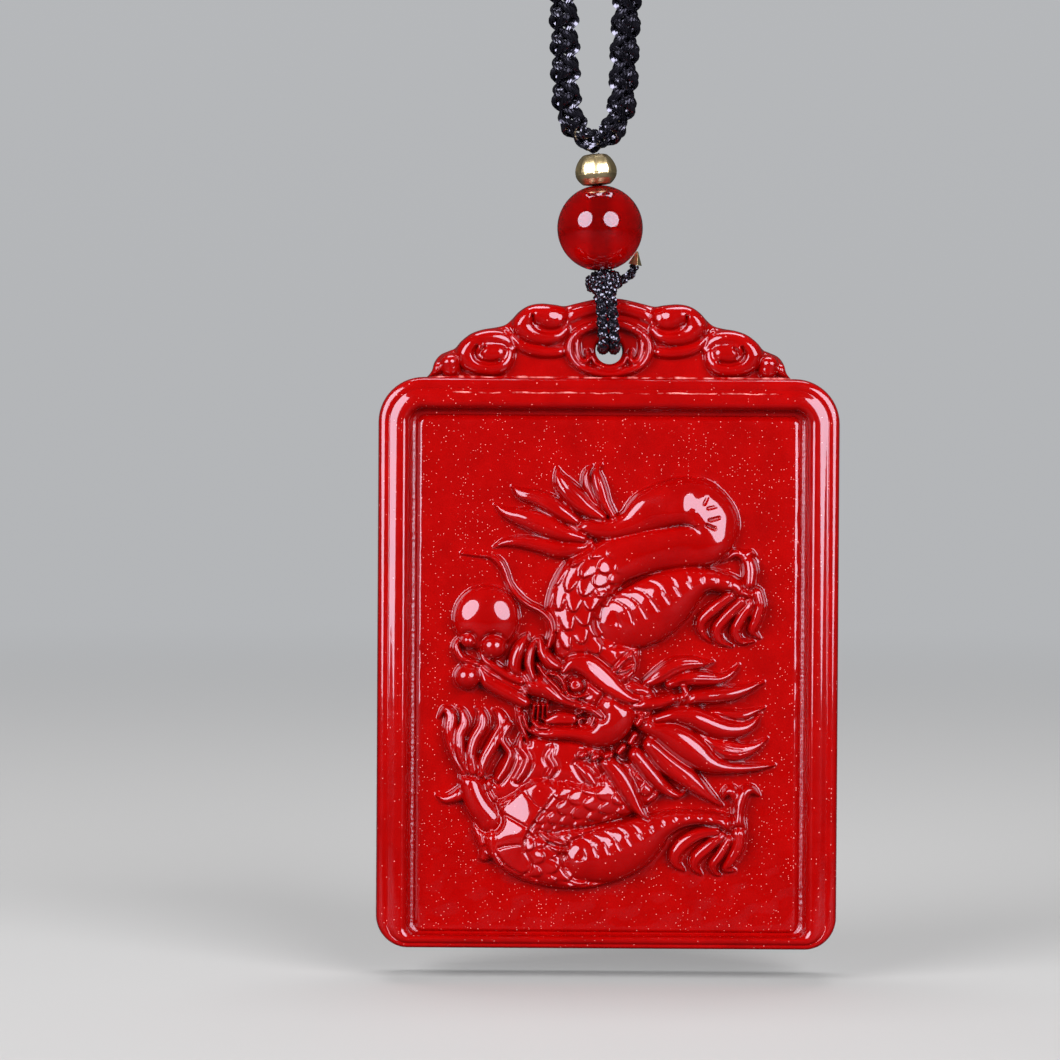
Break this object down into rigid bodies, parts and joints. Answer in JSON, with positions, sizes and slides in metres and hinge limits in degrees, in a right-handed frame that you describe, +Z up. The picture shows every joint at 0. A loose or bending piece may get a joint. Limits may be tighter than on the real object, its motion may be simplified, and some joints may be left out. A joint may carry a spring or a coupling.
{
  "type": "cinnabar dragon pendant necklace",
  "caption": "Framed red tablet with a raised dragon and pearl, hung by a knotted cord under a gold bead and an agate bead from a braided neck loop.",
  "frame": {"origin": "the point under the top of the neck loop, where the piece hangs", "axes": "+Z up along the hanging necklace, the carved front faces -Y, +X to the right as seen from the front"},
  "size_m": [0.0428, 0.0092, 0.3784],
  "materials": {
    "neck_cord": "black round braid of fine shiny threads",
    "hanging_cord": "thin black cord of fine shiny threads",
    "gold": "pale gold, polished, with cut facets",
    "agate": "translucent deep red, polished",
    "cinnabar": "moulded cinnabar, glossy, with fine pale flecks"
  },
  "bodies": {
    "string": {"neck_cord": "neck_cord", "gold_bead": "gold", "agate_bead": "agate", "hanging_cord": "hanging_cord", "tail_tip": "gold"},
    "tablet": {"tablet": "cinnabar"}
  },
  "joints": [
    {"name": "tablet_swing", "type": "hinge", "parent": "string", "child": "tablet", "pos_m": [0.0015, 0, -0.31975], "axis": [0, 1, 0], "range_deg": [-12, 12]}
  ]
}
